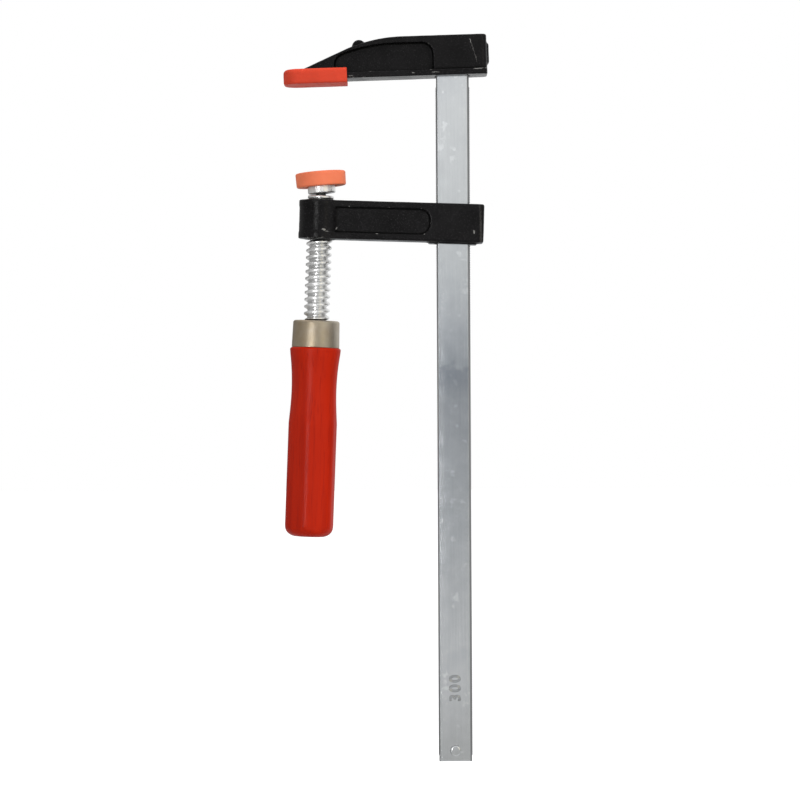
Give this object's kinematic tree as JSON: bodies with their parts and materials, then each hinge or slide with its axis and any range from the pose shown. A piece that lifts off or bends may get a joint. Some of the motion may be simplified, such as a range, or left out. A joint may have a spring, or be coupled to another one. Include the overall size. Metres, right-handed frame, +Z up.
{
  "type": "screw bar clamp",
  "caption": "Woodworking F-clamp: toothed flat bar with a fixed jaw, and a sliding arm whose wooden-handled screw presses a swivelling pad.",
  "frame": {"origin": "on the fixed jaw pad's working face, straight above the middle of the arm's boss", "axes": "+Z up along the bar, +X from the spindle's line towards the bar, -Y the front shown in the picture"},
  "size_m": [0.0888, 0.0216, 0.312],
  "materials": {
    "zinc_plate": "satin zinc plate",
    "bright_zinc": "bright zinc plate",
    "black_paint": "satin black paint",
    "red_plastic": "matt",
    "orange_plastic": "matt",
    "nickel_plate": "satin nickel",
    "red_wood": "gloss lacquer"
  },
  "bodies": {
    "bar": {"bar": "zinc_plate", "bar_stop_pin": "zinc_plate", "fixed_jaw": "black_paint", "fixed_jaw_pad": "red_plastic"},
    "sliding_arm": {"sliding_arm": "black_paint"},
    "thrust_washer": {"thrust_washer": "bright_zinc"},
    "spindle": {"spindle": "bright_zinc", "ferrule": "nickel_plate", "handle": "red_wood"},
    "swivel_foot": {"swivel_foot": "bright_zinc", "swivel_pad_cap": "orange_plastic"}
  },
  "joints": [
    {"name": "arm_slide", "type": "slide", "parent": "bar", "child": "sliding_arm", "axis": [0, 0, 1], "range_m": [-0.2146, 0.0022]},
    {"name": "spindle_feed", "type": "slide", "parent": "sliding_arm", "child": "thrust_washer", "axis": [0.041, 0, 0.9992], "range_m": [0, 0.033]},
    {"name": "spindle_turn", "type": "hinge", "parent": "thrust_washer", "child": "spindle", "pos_m": [0.00003, 0, -0.0579], "axis": [0.041, 0, 0.9992], "range_deg": [0, 3960]},
    {"name": "foot_tilt", "type": "hinge", "parent": "thrust_washer", "child": "swivel_foot", "pos_m": [0.00064, 0, -0.04319], "axis": [0, 1, 0], "range_deg": [0, 13.5]}
  ],
  "couplings": [
    {"joint": "spindle_feed", "follows": "spindle_turn", "m_per_rad": 0.00047746}
  ]
}
